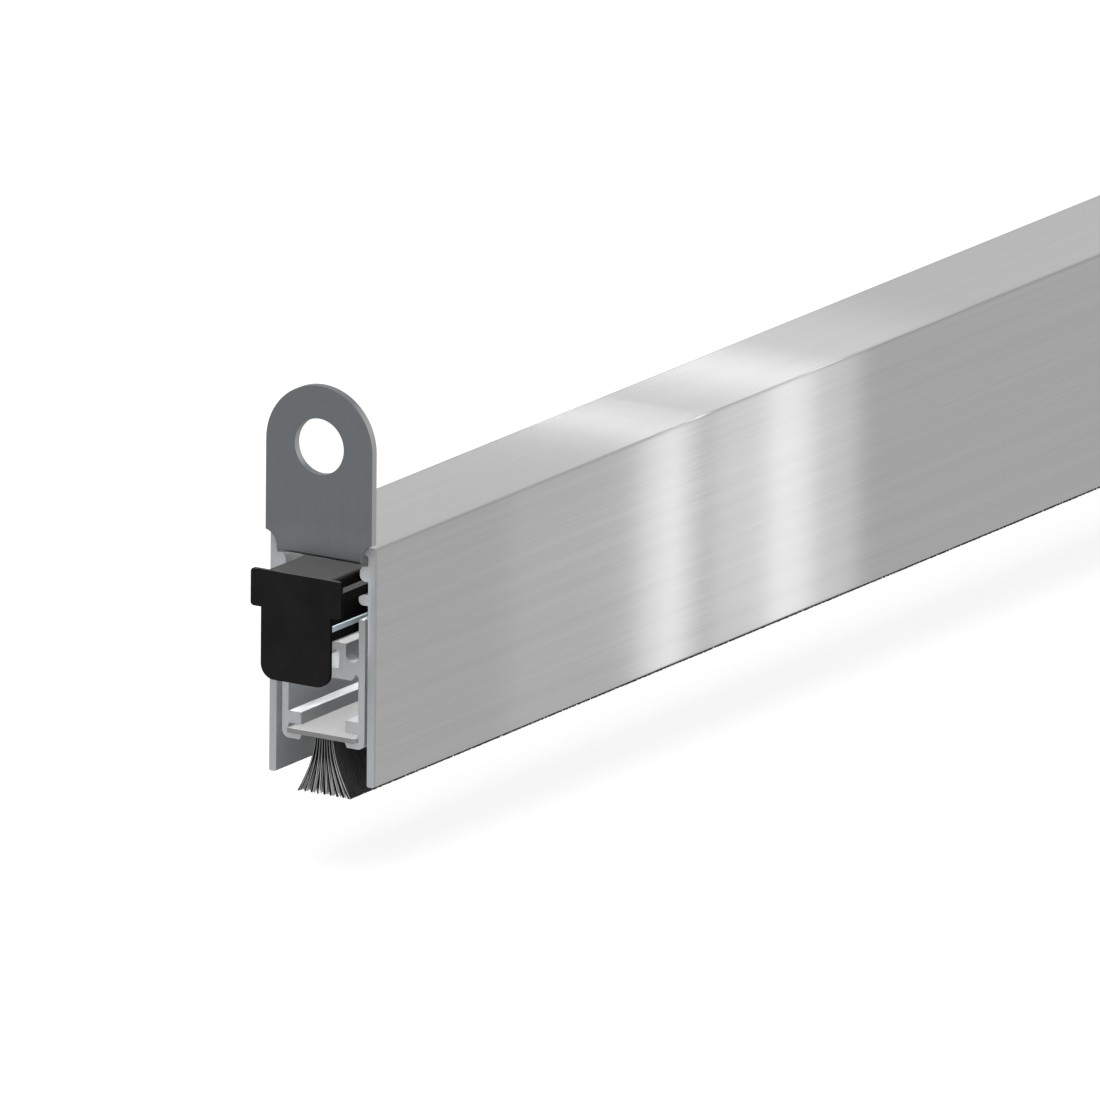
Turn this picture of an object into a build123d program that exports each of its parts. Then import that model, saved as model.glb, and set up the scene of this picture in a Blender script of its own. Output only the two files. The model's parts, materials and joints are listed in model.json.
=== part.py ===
from build123d import *

import os

# Automatic door bottom seal, in millimetres.
# The origin is the middle of the housing's top face. +X runs along the seal, away from the plunger,
# and +Z is up, into the door leaf's groove. The model is at rest: plunger out, brush up.

# Housing: an inverted U with two pairs of ribs on the insides of its walls
housing_length = 335.0
housing_width = 15.0
housing_height = 30.0
side_wall = 1.0
top_wall = 1.0
inner_corner_radius = 0.4
edge_break = 0.15
wall_end_radius = 0.25
upper_rib_reach = 1.2
upper_rib_thickness = 1.9
upper_rib_radius = 0.8
lower_rib_reach = 1.35
lower_rib_thickness = 1.4
lower_rib_radius = 0.65

# End brackets: sheet steel, bent square, one at each end
sheet_thickness = 1.0
sheet_slot_play = 0.4
bend_radius = 0.4
tab_overhang = 0.1
tab_hole_height = 11.9
tab_hole_diameter = 7.0
notch_radius = 2.0
notch_drop = 1.43
leg_length = 22.0
leg_side_gap = 0.5
barb_pitch = 6.0
barb_length = 2.5

# Plunger: a T-shaped face on a body that runs between the ribs
plunger_travel = 5.0
plunger_stop_gap = 0.6
face_thickness = 0.5
head_side_gap = 0.05
head_top_depth = 3.0
head_height = 4.7
head_radius = 0.45
stem_inset = 0.05
stem_bottom_depth = 16.6
stem_radius = 1.9
plunger_body_length = 28.0

# Guide section, shared by the plunger and the blocks
tongue_thickness = 1.2
tongue_play = 0.2
tongue_side_gap = 0.2
rib_tip_gap = 0.15
guide_top_depth = 3.2
guide_edge_radius = 0.7
guide_waist_depth = 7.6
guide_bottom_depth = 11.4
jaw_inset = 0.8
jaw_radius = 0.8

# Strips and leaf springs
strip_overhang = 0.3
spring_edge_inset = 1.0
strip_corner_radius = 1.0
strip_top_depth = 9.2
strip_thickness = 0.6
spring_thickness = 0.5
strip_end_gap = 0.1
strip_slot_play = 0.05

# Pins through the strips
pin_diameter = 2.5
pin_fit = 0.05
strip_hole_play = 0.15
pin_top_depth = 5.2
pin_edge = 4.0

# Mechanism along the length, from the plunger end
front_block_start = 32.0
block_length = 14.0
block_web = 1.0
middle_bar_length = 48.0
anchor_length = 24.0
anchor_gap = 1.0
mouth_flare = 0.8
mouth_length = 3.0

# Set screws that jam the anchor between the ribs and the housing's top
set_screw_diameter = 4.0
set_screw_length = 8.0
set_screw_socket = 2.0
set_screw_socket_depth = 2.5
set_screw_edge = 6.5

# Carriage: the profile that carries the brush
carriage_end_gap = 0.35
carriage_side_gap = 0.6
carriage_top_depth = 9.3
carriage_height = 16.3
carriage_wall = 0.9
carriage_corner_radius = 1.0
crossbar_depth = 6.5
crossbar_thickness = 1.3
relief_width = 1.0
relief_height = 0.9
slot_width = 4.4
slot_opening = 2.5
web_thickness = 0.95
hook_thickness = 0.9
hook_top_depth = 3.3
groove_floor_rise = 1.0
upper_lip_thickness = 1.5
upper_lip_reach = 1.8
brush_slot_height = 1.1
lower_lip_thickness = 0.8
lower_lip_reach = 2.0
lower_lip_slant = 0.4

# Saddles: one under each bow's middle
saddle_length = 20.0
saddle_side_gap = 0.2
saddle_slot_side_play = 0.2
saddle_slot_play = 0.15
saddle_bridge = 1.1
saddle_bridge_length = 8.0
nut_play = 0.2
nut_length = 8.0
nut_corner_radius = 0.5
saddle_screw_diameter = 2.0
saddle_screw_head = 3.8
saddle_screw_head_height = 1.1
saddle_screw_end_gap = 0.5
saddle_screw_socket = 1.3
saddle_screw_socket_depth = 0.7

# Brush
backing_thickness = 0.6
backing_side_gap = 0.2
backing_proud = 0.6
bristle_root_width = 2.7
bristle_tip_width = 7.8
bristle_straight = 2.4
brush_proud = 2.1

# Worked out along the length
plunger_end = -housing_length / 2
far_end = housing_length / 2
face_start = plunger_end - plunger_stop_gap - plunger_travel - face_thickness
front_block_x = plunger_end + front_block_start
front_bow_x = front_block_x + block_length
anchor_x = far_end - leg_length - anchor_gap - anchor_length
bow_length = (anchor_x - front_bow_x - middle_bar_length) / 2
middle_x = front_bow_x + bow_length
rear_bow_x = middle_x + middle_bar_length

# Worked out across the width
inner_width = housing_width - 2 * side_wall
tab_width = housing_width + 2 * tab_overhang
head_width = inner_width - 2 * head_side_gap
guide_width = inner_width - 2 * max(upper_rib_reach, lower_rib_reach) - 2 * rib_tip_gap
stem_width = guide_width - 2 * stem_inset
tongue_width = inner_width - 2 * tongue_side_gap
carriage_width = inner_width - 2 * carriage_side_gap
carriage_inner = carriage_width - 2 * carriage_wall
jaw_width = carriage_inner - 2 * jaw_inset
strip_width = jaw_width + 2 * strip_overhang
spring_width = strip_width - 2 * spring_edge_inset

# Worked out in height
upper_rib_top = -top_wall - sheet_thickness - sheet_slot_play
upper_rib_bottom = upper_rib_top - upper_rib_thickness
lower_rib_top = upper_rib_bottom - tongue_thickness - 2 * tongue_play
lower_rib_bottom = lower_rib_top - lower_rib_thickness
tongue_top = upper_rib_bottom - tongue_play
strip_middle = -strip_top_depth - strip_thickness / 2
carriage_top = -carriage_top_depth
carriage_bottom = carriage_top - carriage_height
crossbar_top = carriage_top - crossbar_depth
crossbar_bottom = crossbar_top - crossbar_thickness
hook_top = carriage_top - hook_top_depth
lower_lip_top = carriage_bottom + lower_lip_thickness
upper_lip_bottom = lower_lip_top + brush_slot_height
brush_tip = -housing_height - brush_proud


def box_section(width, low, high, mode=Mode.ADD):
    """A rectangle centred on the seal's middle plane, between two heights."""
    with Locations((0, (low + high) / 2)):
        Rectangle(width, high - low, mode=mode)


def wall_pair(outer, inner, low, high, radius=0, mode=Mode.ADD):
    """The same bar on the left and on the right, between two distances from the middle plane."""
    middle = (outer + inner) / 2
    with Locations((-middle, (low + high) / 2), (middle, (low + high) / 2)):
        if radius > 0:
            RectangleRounded(outer - inner, high - low, radius, mode=mode)
        else:
            Rectangle(outer - inner, high - low, mode=mode)


def save(part, name):
    """Label a finished piece and write it as one STEP file."""
    part.label = name
    export_step(part, "parts/" + name + ".step")


def make_housing():
    """Extruded channel, open below, with rounded ribs and softened outer edges."""
    with BuildPart() as housing:
        with BuildSketch(Plane.YZ.offset(plunger_end)):
            box_section(housing_width, -housing_height, 0)
            fillet(vertices().group_by(Axis.Y)[-1], edge_break)
            with BuildSketch(mode=Mode.SUBTRACT):
                box_section(inner_width, -housing_height - top_wall, -top_wall)
                fillet(vertices().group_by(Axis.Y)[-1], inner_corner_radius)
            fillet(vertices().group_by(Axis.Y)[0], min(wall_end_radius, side_wall / 3))
            rib_root = housing_width / 2
            wall_pair(rib_root, inner_width / 2 - upper_rib_reach,
                      upper_rib_bottom, upper_rib_top, upper_rib_radius)
            wall_pair(rib_root, inner_width / 2 - lower_rib_reach,
                      lower_rib_bottom, lower_rib_top, lower_rib_radius)
        extrude(amount=housing_length)
    save(housing.part, "housing")


def make_bracket(name, end_x, side):
    """Bent sheet: a round-headed tab against the housing's end, and a leg in the slot above the ribs.

    side is -1 at the plunger end, where the tab's front looks towards -X, and +1 at the far end.
    """
    leg_width = inner_width - 2 * leg_side_gap
    leg_top = -top_wall
    leg_bottom = leg_top - sheet_thickness
    tab_front = end_x + side * sheet_thickness
    leg_end = end_x - side * leg_length
    bend_top = leg_bottom + bend_radius
    bend_back = tab_front - side * bend_radius
    tab_top = tab_hole_height + tab_width / 2
    with BuildPart() as bracket:
        with BuildSketch(Plane.XZ):
            with BuildLine():
                Polyline(
                    (end_x, tab_top), (tab_front, tab_top), (tab_front, bend_top))
                RadiusArc((tab_front, bend_top), (bend_back, leg_bottom), side * bend_radius)
                Polyline(
                    (bend_back, leg_bottom), (leg_end, leg_bottom), (leg_end, leg_top),
                    (end_x, leg_top), (end_x, tab_top))
            make_face()
        extrude(amount=tab_width / 2, both=True)

        # Front outline: round head, straight sides, and hollows that narrow the tab to the leg
        with BuildSketch(Plane.YZ.offset(end_x)):
            with Locations((0, tab_hole_height)):
                Circle(tab_width / 2)
            box_section(tab_width, -notch_drop, tab_hole_height)
            box_section(leg_width, leg_bottom, 0)
            notch_middle = leg_width / 2 + notch_radius
            with Locations((-notch_middle, -notch_drop), (notch_middle, -notch_drop)):
                Circle(notch_radius, mode=Mode.SUBTRACT)
            with Locations((0, tab_hole_height)):
                Circle(tab_hole_diameter / 2, mode=Mode.SUBTRACT)
        extrude(amount=leg_length + sheet_thickness, both=True, mode=Mode.INTERSECT)

        # Barbs on the leg's edges bite into the housing's walls
        with BuildSketch(Plane.XY.offset(leg_bottom)):
            for step in (1, 2):
                tip_x = leg_end + side * step * barb_pitch
                for edge in (-1, 1):
                    with BuildLine():
                        Polyline(
                            (tip_x, edge * inner_width / 2),
                            (tip_x, edge * (leg_width / 2 - leg_side_gap)),
                            (tip_x - side * barb_length, edge * leg_width / 2),
                            close=True)
                    make_face()
        extrude(amount=sheet_thickness - inner_corner_radius)
    save(bracket.part, name)


def guide_section():
    """Cross-section of whatever runs between the ribs: waist, side tongues and a narrow jaw below."""
    box_section(guide_width, -guide_waist_depth, -guide_top_depth)
    box_section(tongue_width, tongue_top - tongue_thickness, tongue_top)
    box_section(jaw_width, -guide_bottom_depth, -guide_waist_depth)
    fillet(vertices().group_by(Axis.Y)[0], jaw_radius)
    fillet(vertices().group_by(Axis.Y)[-1], guide_edge_radius)


def cut_strip_slot(start_x, end_x, thickness):
    """Cut the slot that a strip lies in, right across the piece."""
    with BuildSketch(Plane.YZ.offset(start_x)) as opening:
        with Locations((0, strip_middle)):
            Rectangle(housing_width, thickness + 2 * strip_slot_play)
    extrude(opening.sketch, amount=end_x - start_x, mode=Mode.SUBTRACT)


def cut_pin_holes(pin_places):
    """Blind holes from below, one for each pin."""
    with BuildSketch(Plane.XY.offset(-guide_bottom_depth)) as holes:
        with Locations(*[(x, 0) for x in pin_places]):
            Circle(pin_diameter / 2 + pin_fit)
    extrude(holes.sketch, amount=guide_bottom_depth - pin_top_depth, mode=Mode.SUBTRACT)


def cut_mouth(mouth_x, inward):
    """Flare the slot's lower edge, so that the bowed spring has room as it leaves the block."""
    low = strip_middle - spring_thickness / 2 - strip_slot_play
    with BuildSketch(Plane.XZ) as wedge:
        with BuildLine():
            Polyline(
                (mouth_x, low), (mouth_x + inward * mouth_length, low),
                (mouth_x, low - mouth_flare), close=True)
        make_face()
    extrude(wedge.sketch, amount=housing_width, both=True, mode=Mode.SUBTRACT)


def make_plunger():
    """Moulded button: T-shaped face, and a body with tongues that holds the push strip."""
    body_start = face_start + face_thickness
    body_end = body_start + plunger_body_length
    with BuildPart() as plunger:
        with BuildSketch(Plane.YZ.offset(face_start)):
            head_bottom = -head_top_depth - head_height
            with Locations((0, -head_top_depth - head_height / 2)):
                RectangleRounded(head_width, head_height, head_radius)
            with BuildSketch(mode=Mode.ADD):
                box_section(stem_width, -stem_bottom_depth, head_bottom + head_radius)
                fillet(vertices().group_by(Axis.Y)[0], stem_radius)
        extrude(amount=face_thickness)
        with BuildSketch(Plane.YZ.offset(body_start)):
            guide_section()
        extrude(amount=plunger_body_length)
        cut_strip_slot(body_start, body_end, strip_thickness)
        cut_pin_holes(plunger_pins)
    save(plunger.part, "plunger")


def make_block(name, start_x, pin_places, spring_side):
    """A guide block with a slot at each end, one for a strip and one for a leaf spring.

    spring_side is -1 where the spring leaves towards the plunger, and +1 where it leaves the other way.
    """
    middle = start_x + block_length / 2
    spring_end = middle + spring_side * block_length / 2
    strip_end = middle - spring_side * block_length / 2
    with BuildPart() as block:
        with BuildSketch(Plane.YZ.offset(start_x)):
            guide_section()
        extrude(amount=block_length)
        cut_strip_slot(middle + spring_side * block_web / 2, spring_end, spring_thickness)
        cut_strip_slot(middle - spring_side * block_web / 2, strip_end, strip_thickness)
        cut_mouth(spring_end, -spring_side)
        cut_pin_holes(pin_places)
    save(block.part, name)


def make_anchor():
    """The fixed block that holds the rear spring's far end, with two threaded holes for set screws."""
    with BuildPart() as anchor:
        with BuildSketch(Plane.YZ.offset(anchor_x)):
            guide_section()
        extrude(amount=anchor_length)
        cut_strip_slot(anchor_x, anchor_strip_end, spring_thickness)
        cut_mouth(anchor_x, 1)
        cut_pin_holes([anchor_pin])
        with BuildSketch(Plane.XY.offset(-guide_bottom_depth)):
            with Locations(*[(x, 0) for x in set_screws]):
                Circle(set_screw_diameter / 2)
        extrude(amount=guide_bottom_depth - guide_top_depth, mode=Mode.SUBTRACT)
    save(anchor.part, "anchor_block")


def make_pin(name, x):
    """Steel pin, from the block's underside up through the strip."""
    with BuildPart() as pin:
        with BuildSketch(Plane.XY.offset(-guide_bottom_depth)):
            with Locations((x, 0)):
                Circle(pin_diameter / 2)
        extrude(amount=guide_bottom_depth - pin_top_depth)
    save(pin.part, name)


def make_strip(name, start_x, end_x, width, thickness, pin_places):
    """Flat steel strip with rounded corners and a hole for each pin."""
    with BuildPart() as strip:
        with BuildSketch(Plane.XY.offset(strip_middle - thickness / 2)):
            with Locations(((start_x + end_x) / 2, 0)):
                RectangleRounded(end_x - start_x, width, strip_corner_radius)
            with Locations(*[(x, 0) for x in pin_places]):
                Circle(pin_diameter / 2 + strip_hole_play, mode=Mode.SUBTRACT)
        extrude(amount=thickness)
    save(strip.part, name)


def make_set_screw(name, x):
    """Socket set screw, pressed against the underside of the housing's top wall."""
    with BuildPart() as screw:
        with BuildSketch(Plane.XY.offset(-top_wall - set_screw_length)):
            with Locations((x, 0)):
                Circle(set_screw_diameter / 2)
        extrude(amount=set_screw_length)
        chamfer(screw.edges().group_by(Axis.Z)[-1], set_screw_diameter / 8)
        with BuildSketch(Plane.XY.offset(-top_wall - set_screw_length)):
            with Locations((x, 0)):
                RegularPolygon(set_screw_socket / 2, 6, major_radius=False)
        extrude(amount=set_screw_socket_depth, mode=Mode.SUBTRACT)
    save(screw.part, name)


def make_carriage():
    """Inner profile: T-slot above the crossbar, U grooves beside it, and the brush slot below."""
    half_outer = carriage_width / 2
    half_inner = carriage_inner / 2
    web_inner = slot_width / 2
    web_outer = web_inner + web_thickness
    groove_radius = (half_inner - web_outer) / 2
    groove_middle = (half_inner + web_outer) / 2
    groove_floor = crossbar_top + groove_floor_rise
    with BuildPart() as carriage:
        with BuildSketch(Plane.YZ.offset(plunger_end + carriage_end_gap)):
            # Outer channel, rounded at its lower corners, and its hollow above and below the crossbar
            box_section(carriage_width, carriage_bottom, carriage_top)
            fillet(vertices().group_by(Axis.Y)[0], carriage_corner_radius)
            box_section(carriage_inner, crossbar_top, carriage_top, Mode.SUBTRACT)
            box_section(carriage_inner, lower_lip_top, crossbar_bottom, Mode.SUBTRACT)
            mouth_top = half_inner - lower_lip_reach
            mouth_bottom = mouth_top + lower_lip_slant
            with BuildLine():
                Polyline(
                    (-mouth_top, lower_lip_top), (mouth_top, lower_lip_top),
                    (mouth_bottom, carriage_bottom), (-mouth_bottom, carriage_bottom), close=True)
            make_face(mode=Mode.SUBTRACT)

            # Webs with hooks: the T-slot
            wall_pair(web_outer, web_inner, crossbar_top, hook_top)
            hook_round = hook_thickness / 2
            wall_pair(web_outer, slot_opening / 2 + hook_round, hook_top - hook_thickness, hook_top)
            hook_tip = slot_opening / 2 + hook_round
            with Locations((-hook_tip, hook_top - hook_round), (hook_tip, hook_top - hook_round)):
                Circle(hook_round)

            # U grooves between the webs and the walls
            wall_pair(half_inner, web_outer, crossbar_top, groove_floor + groove_radius)
            with Locations((-groove_middle, groove_floor + groove_radius),
                           (groove_middle, groove_floor + groove_radius)):
                Circle(groove_radius, mode=Mode.SUBTRACT)

            # Reliefs under the crossbar, beside the walls
            for side in (-1, 1):
                with BuildLine():
                    Polyline(
                        (side * (half_inner - relief_width), crossbar_bottom),
                        (side * (half_inner - relief_width / 3), crossbar_bottom + relief_height),
                        (side * half_inner, crossbar_bottom + relief_height / 2),
                        (side * half_inner, crossbar_bottom), close=True)
                make_face(mode=Mode.SUBTRACT)

            # Lips over the brush slot
            wall_pair(half_inner, half_inner - upper_lip_reach,
                      upper_lip_bottom, upper_lip_bottom + upper_lip_thickness)
        extrude(amount=housing_length - 2 * carriage_end_gap)
    save(carriage.part, "carriage_profile")


def make_saddle(name, x):
    """Moulded saddle: it stands on the T-slot's hooks and a bridge wraps the spring's middle."""
    slot_bottom = strip_middle - spring_thickness / 2 - saddle_slot_play
    slot_top = strip_middle + spring_thickness / 2 + saddle_slot_play
    saddle_width = carriage_inner - 2 * saddle_side_gap
    with BuildPart() as saddle:
        with BuildSketch(Plane.XY.offset(hook_top)):
            with Locations((x, 0)):
                RectangleRounded(saddle_length, saddle_width, saddle_width / 8)
        extrude(amount=slot_top + saddle_bridge - hook_top)

        # Room for the strip, and low ends in front of and behind the bridge
        slot_width_y = spring_width + 2 * saddle_slot_side_play
        with BuildSketch(Plane.YZ.offset(x - saddle_length / 2)):
            with Locations((0, strip_middle)):
                Rectangle(slot_width_y, slot_top - slot_bottom)
        extrude(amount=saddle_length, mode=Mode.SUBTRACT)
        low_end = (saddle_length - saddle_bridge_length) / 2
        with BuildSketch(Plane.XY.offset(slot_bottom)):
            with Locations((x - saddle_length / 2 + low_end / 2, 0),
                           (x + saddle_length / 2 - low_end / 2, 0)):
                Rectangle(low_end, saddle_width)
        extrude(amount=slot_top + saddle_bridge - slot_bottom, mode=Mode.SUBTRACT)

        # Countersunk hole under the spring for the screw
        with BuildSketch(Plane.XY.offset(hook_top)):
            with Locations((x, 0)):
                Circle(saddle_screw_diameter / 2 + pin_fit)
        extrude(amount=slot_bottom - hook_top, mode=Mode.SUBTRACT)
        with BuildSketch(Plane.XY.offset(slot_bottom)) as head_mouth:
            with Locations((x, 0)):
                Circle(saddle_screw_head / 2 + pin_fit)
        with BuildSketch(Plane.XY.offset(slot_bottom - saddle_screw_head_height)) as head_floor:
            with Locations((x, 0)):
                Circle(saddle_screw_diameter / 2 + pin_fit)
        loft([head_mouth.sketch, head_floor.sketch], mode=Mode.SUBTRACT)
    save(saddle.part, name)
    return slot_bottom


def make_saddle_nut(name, x):
    """Square-edged steel nut in the T-slot, drawn up against the undersides of the hooks."""
    nut_top = hook_top - hook_thickness
    nut_bottom = crossbar_top + nut_play
    with BuildPart() as nut:
        with BuildSketch(Plane.XY.offset(nut_bottom)):
            with Locations((x, 0)):
                RectangleRounded(nut_length, slot_width - 2 * nut_play, nut_corner_radius)
                Circle(saddle_screw_diameter / 2, mode=Mode.SUBTRACT)
        extrude(amount=nut_top - nut_bottom)
    save(nut.part, name)


def make_saddle_screw(name, x, head_top):
    """Countersunk screw that clamps the saddle and the T-nut to the hooks."""
    tip = crossbar_top + saddle_screw_end_gap
    neck = head_top - saddle_screw_head_height
    shank_radius = saddle_screw_diameter / 2
    with BuildPart() as screw:
        with BuildSketch(Plane.XZ):
            with BuildLine():
                Polyline(
                    (x, tip), (x + shank_radius - pin_fit, tip), (x + shank_radius, tip + pin_fit),
                    (x + shank_radius, neck), (x + saddle_screw_head / 2, head_top),
                    (x, head_top), close=True)
            make_face()
        revolve(axis=Axis((x, 0, 0), (0, 0, 1)))
        with BuildSketch(Plane.XY.offset(head_top - saddle_screw_socket_depth)):
            with Locations((x, 0)):
                RegularPolygon(saddle_screw_socket / 2, 6, major_radius=False)
        extrude(amount=saddle_screw_socket_depth, mode=Mode.SUBTRACT)
    save(screw.part, name)


def make_backing():
    """Flat strip in the carriage's brush slot, standing a little proud at the plunger end."""
    start_x = plunger_end + carriage_end_gap - backing_proud
    end_x = far_end - carriage_end_gap
    with BuildPart() as backing:
        with BuildSketch(Plane.YZ.offset(start_x)):
            box_section(carriage_inner - 2 * backing_side_gap,
                        lower_lip_top, lower_lip_top + backing_thickness)
        extrude(amount=end_x - start_x)
    save(backing.part, "brush_backing")


def make_bristles():
    """The bristle pack: straight at its root, then flaring in two even curves to its tip."""
    start_x = plunger_end + carriage_end_gap
    root = bristle_root_width / 2
    tip = bristle_tip_width / 2
    bend = lower_lip_top - bristle_straight
    with BuildPart() as bristles:
        with BuildSketch(Plane.YZ.offset(start_x)):
            with BuildLine():
                Line((-root, lower_lip_top), (root, lower_lip_top))
                Line((root, lower_lip_top), (root, bend))
                TangentArc((root, bend), (tip, brush_tip), tangent=(0, -1))
                Line((tip, brush_tip), (-tip, brush_tip))
                TangentArc((-root, bend), (-tip, brush_tip), tangent=(0, -1))
                Line((-root, bend), (-root, lower_lip_top))
            make_face()
        extrude(amount=housing_length - 2 * carriage_end_gap)
    save(bristles.part, "brush_bristles")


# Where the pins and screws stand along the length
body_start_x = face_start + face_thickness
plunger_pins = [body_start_x + pin_edge, body_start_x + plunger_body_length - pin_edge]
front_pins = [front_block_x + pin_edge, front_block_x + block_length - pin_edge]
middle_front_pins = [middle_x + pin_edge, middle_x + block_length - pin_edge]
middle_rear_x = rear_bow_x - block_length
middle_rear_pins = [middle_rear_x + pin_edge, middle_rear_x + block_length - pin_edge]
anchor_pin = anchor_x + pin_edge
anchor_strip_end = anchor_x + 2 * pin_edge
set_screws = [anchor_strip_end + set_screw_edge / 2, anchor_x + anchor_length - set_screw_edge / 2]
front_saddle_x = front_bow_x + bow_length / 2
rear_saddle_x = rear_bow_x + bow_length / 2

os.makedirs("parts", exist_ok=True)

make_housing()
make_bracket("plunger_end_bracket", plunger_end, -1)
make_bracket("far_end_bracket", far_end, 1)
make_plunger()

# Each block takes the ends of two strips, one on each side of a web across its middle
make_block("front_guide_block", front_block_x, front_pins, 1)
make_block("middle_front_block", middle_x, middle_front_pins, -1)
make_block("middle_rear_block", middle_rear_x, middle_rear_pins, 1)
make_anchor()

# Strips reach from one block's web to the next, less a small gap
ahead_of_web = (block_length - block_web) / 2 - strip_end_gap
behind_web = (block_length + block_web) / 2 + strip_end_gap
make_strip("push_strip", body_start_x, front_block_x + ahead_of_web,
           strip_width, strip_thickness, plunger_pins + front_pins[:1])
make_strip("front_leaf_spring", front_block_x + behind_web, middle_x + ahead_of_web,
           spring_width, spring_thickness, front_pins[1:] + middle_front_pins[:1])
make_strip("middle_strip", middle_x + behind_web, middle_rear_x + ahead_of_web,
           strip_width, strip_thickness, middle_front_pins[1:] + middle_rear_pins[:1])
make_strip("rear_leaf_spring", middle_rear_x + behind_web, anchor_strip_end - strip_end_gap,
           spring_width, spring_thickness, middle_rear_pins[1:] + [anchor_pin])

pin_groups = {
    "plunger_pin": plunger_pins,
    "front_block_pin": front_pins,
    "middle_front_pin": middle_front_pins,
    "middle_rear_pin": middle_rear_pins,
    "anchor_pin": [anchor_pin],
}
for group, places in pin_groups.items():
    for count, place in enumerate(places, start=1):
        make_pin(f"{group}_{count}", place)
for count, place in enumerate(set_screws, start=1):
    make_set_screw(f"anchor_set_screw_{count}", place)

make_carriage()
for where, place in (("front", front_saddle_x), ("rear", rear_saddle_x)):
    screw_head_top = make_saddle(f"{where}_saddle", place)
    make_saddle_nut(f"{where}_saddle_nut", place)
    make_saddle_screw(f"{where}_saddle_screw", place, screw_head_top)

make_backing()
make_bristles()
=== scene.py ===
import json
import math

import bmesh
import bpy
import numpy as np
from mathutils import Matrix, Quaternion, Vector


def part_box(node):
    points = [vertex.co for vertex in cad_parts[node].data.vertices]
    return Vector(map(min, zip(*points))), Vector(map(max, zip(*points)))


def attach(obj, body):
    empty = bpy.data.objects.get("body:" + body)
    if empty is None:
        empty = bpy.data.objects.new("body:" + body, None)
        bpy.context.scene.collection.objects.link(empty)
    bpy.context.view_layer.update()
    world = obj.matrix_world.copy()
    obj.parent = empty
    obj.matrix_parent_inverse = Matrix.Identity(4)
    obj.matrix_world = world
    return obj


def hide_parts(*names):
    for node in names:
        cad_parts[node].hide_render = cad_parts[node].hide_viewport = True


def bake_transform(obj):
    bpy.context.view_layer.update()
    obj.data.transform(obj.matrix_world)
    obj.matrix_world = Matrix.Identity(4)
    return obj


# Automatic door bottom seal, in metres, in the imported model's own frame.
# +X runs along the seal, away from the plunger, and +Z is up. The photo shows the -X end and the -Y side.

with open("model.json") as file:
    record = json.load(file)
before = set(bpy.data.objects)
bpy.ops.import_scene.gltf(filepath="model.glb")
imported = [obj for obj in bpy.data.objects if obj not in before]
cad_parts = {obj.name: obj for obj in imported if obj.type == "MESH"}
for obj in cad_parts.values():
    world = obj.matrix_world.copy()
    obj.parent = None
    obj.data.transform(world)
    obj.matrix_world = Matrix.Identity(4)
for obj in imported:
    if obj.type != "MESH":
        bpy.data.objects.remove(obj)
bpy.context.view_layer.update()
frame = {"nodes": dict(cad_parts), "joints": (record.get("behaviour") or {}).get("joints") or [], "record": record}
nodes = frame["nodes"]

MM = 0.001

# The photo's view: a picture 134 mm wide, seen with almost no perspective
VIEW_AZIMUTH = math.radians(-57.984)
VIEW_ELEVATION = math.radians(15.217)
VIEW_ROLL = math.radians(0.481)
VIEW_TARGET = Vector((-0.110592, 0.003217, -0.014593))
VIEW_HALF_WIDTH = 0.067067
VIEW_HALF_ANGLE = math.radians(0.66)
SENSOR_WIDTH = 36
NEAREST_SEEN = 0.01
FARTHEST_SEEN = 50

# The floor lies just under the brush's tip at its lowest. To the camera it glows, and its shadow is soft
FLOOR_GAP = 0.3 * MM
FLOOR_SIZE = 30.0
FLOOR_COLOUR = 0.6
FLOOR_GLOW = 0.78
FLOOR_SHADOW = 0.30

# How bright the surroundings are in reflections, low down and high up, and as plain light
SHOWN_BELOW = 0.65
SHOWN_ABOVE = 0.92
SHOWN_BETWEEN = (-0.2, 0.8)
SOFT_LIGHT = 0.8

# The one large lamp: its place, the way it faces, its size and its brightness
TOP_LIGHT_PLACE = (-0.5, -0.3, 1.2)
TOP_LIGHT_WAY = (0.35, 0.2, -1.0)
TOP_LIGHT_SIZE = 1.4
TOP_LIGHT = 1.3

# Bands on the housing's brushed faces: how far along it and the lamp's width, in mm, and its brightness
SIDE_BANDS = (
    (68.9, 7.3, 0.49),
    (63.9, 8.9, 0.33),
    (95.2, 10.1, 0.40),
    (94.0, 34.4, 0.32),
    (53.4, 44.8, 0.07),
)
TOP_BANDS = (
    (61.5, 1.2, 5.4),
    (91.0, 6.9, 0.86),
    (98.0, 49.8, 0.18),
)

# The lamps for the bands. SIDE_LAMP_DEPTH and SIDE_LAMP_HEIGHT are shares of the housing's height
SIDE_LAMP_GAP = 20 * MM
TOP_LAMP_GAP = 8 * MM
SIDE_LAMP_AHEAD = 32.0 * MM
TOP_LAMP_AHEAD = 25.0 * MM
SIDE_LAMP_DEPTH = 0.8
SIDE_LAMP_HEIGHT = 1.6
TOP_LAMP_LENGTH = 100 * MM
LAMP_STEP = 0.1 * MM

# A lamp's power for each square metre of it, at a brightness of 1
LAMP_POWER = 4

# Light on the pieces inside the channel: where it comes from, its size, its brightness and the pieces
FILL_TARGET = Vector((-0.16, 0, -0.015))
FROM_DEPTH = (0.8184, 0.5114, 0.2622)
FROM_RIGHT = (0.8184, -0.5114, -0.2622)
FILLS = (
    ("fill_profile", FROM_DEPTH, 0.9, 1.12, ("carriage_profile",)),
    ("fill_strip", FROM_DEPTH, 0.9, 1.1, ("push_strip", "front_leaf_spring")),
    ("fill_backing", FROM_DEPTH, 0.9, 1.8, ("brush_backing",)),
    ("fill_plunger", FROM_DEPTH, 0.9, 1.9, ("plunger", "front_guide_block")),
    ("fill_side", FROM_RIGHT, 0.7, 0.06, ("carriage_profile", "brush_backing", "push_strip")),
)

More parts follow.
